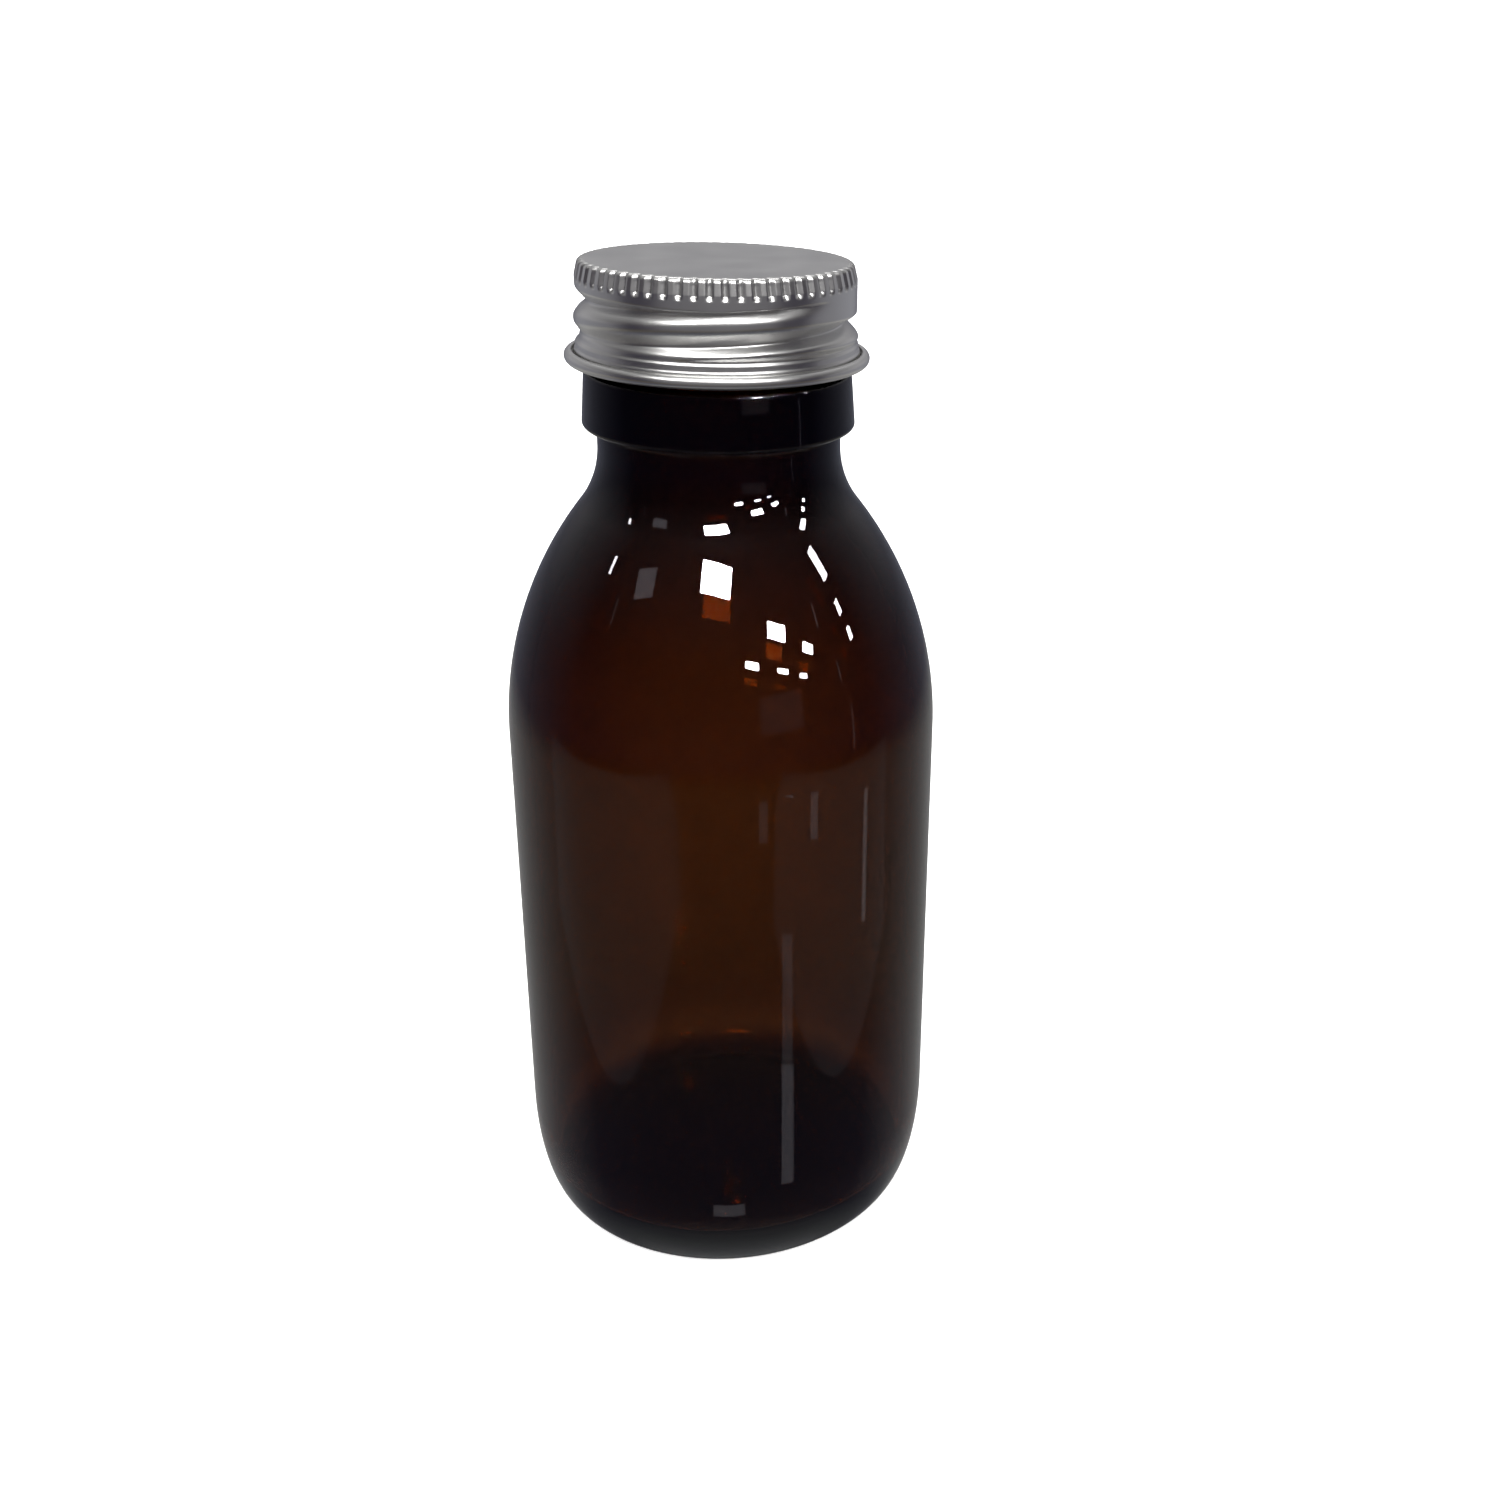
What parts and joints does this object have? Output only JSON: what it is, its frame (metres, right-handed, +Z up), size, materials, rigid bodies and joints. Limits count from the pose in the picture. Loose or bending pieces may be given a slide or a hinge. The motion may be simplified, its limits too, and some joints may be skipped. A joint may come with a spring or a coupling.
{
  "type": "amber glass bottle with screw cap",
  "caption": "Round-shouldered amber glass bottle with a collared neck, a threaded mouth, a knurled aluminium screw cap and its foam liner.",
  "frame": {"origin": "centre of the ring that the bottle stands on", "axes": "+Z up along the bottle's axis, out of the mouth; -Y is the front"},
  "size_m": [0.047, 0.047, 0.109],
  "materials": {
    "amber_glass": "polished dark amber container glass",
    "satin_aluminium": "satin, with fine marks left by the rolling",
    "liner_foam": "matt expanded polyethylene"
  },
  "bodies": {
    "bottle": {"glass_bottle": "amber_glass"},
    "liner": {"cap_liner": "liner_foam"},
    "cap": {"cap_shell": "satin_aluminium"}
  },
  "joints": [
    {"name": "cap_lift", "type": "slide", "parent": "bottle", "child": "liner", "axis": [0, 0, 1], "range_m": [0, 0.02858]},
    {"name": "cap_turn", "type": "hinge", "parent": "liner", "child": "cap", "pos_m": [0, 0, 0.104], "axis": [0, 0, 1], "range_deg": [0, 3240]}
  ],
  "couplings": [
    {"joint": "cap_lift", "follows": "cap_turn", "m_per_rad": 0.00050532}
  ]
}
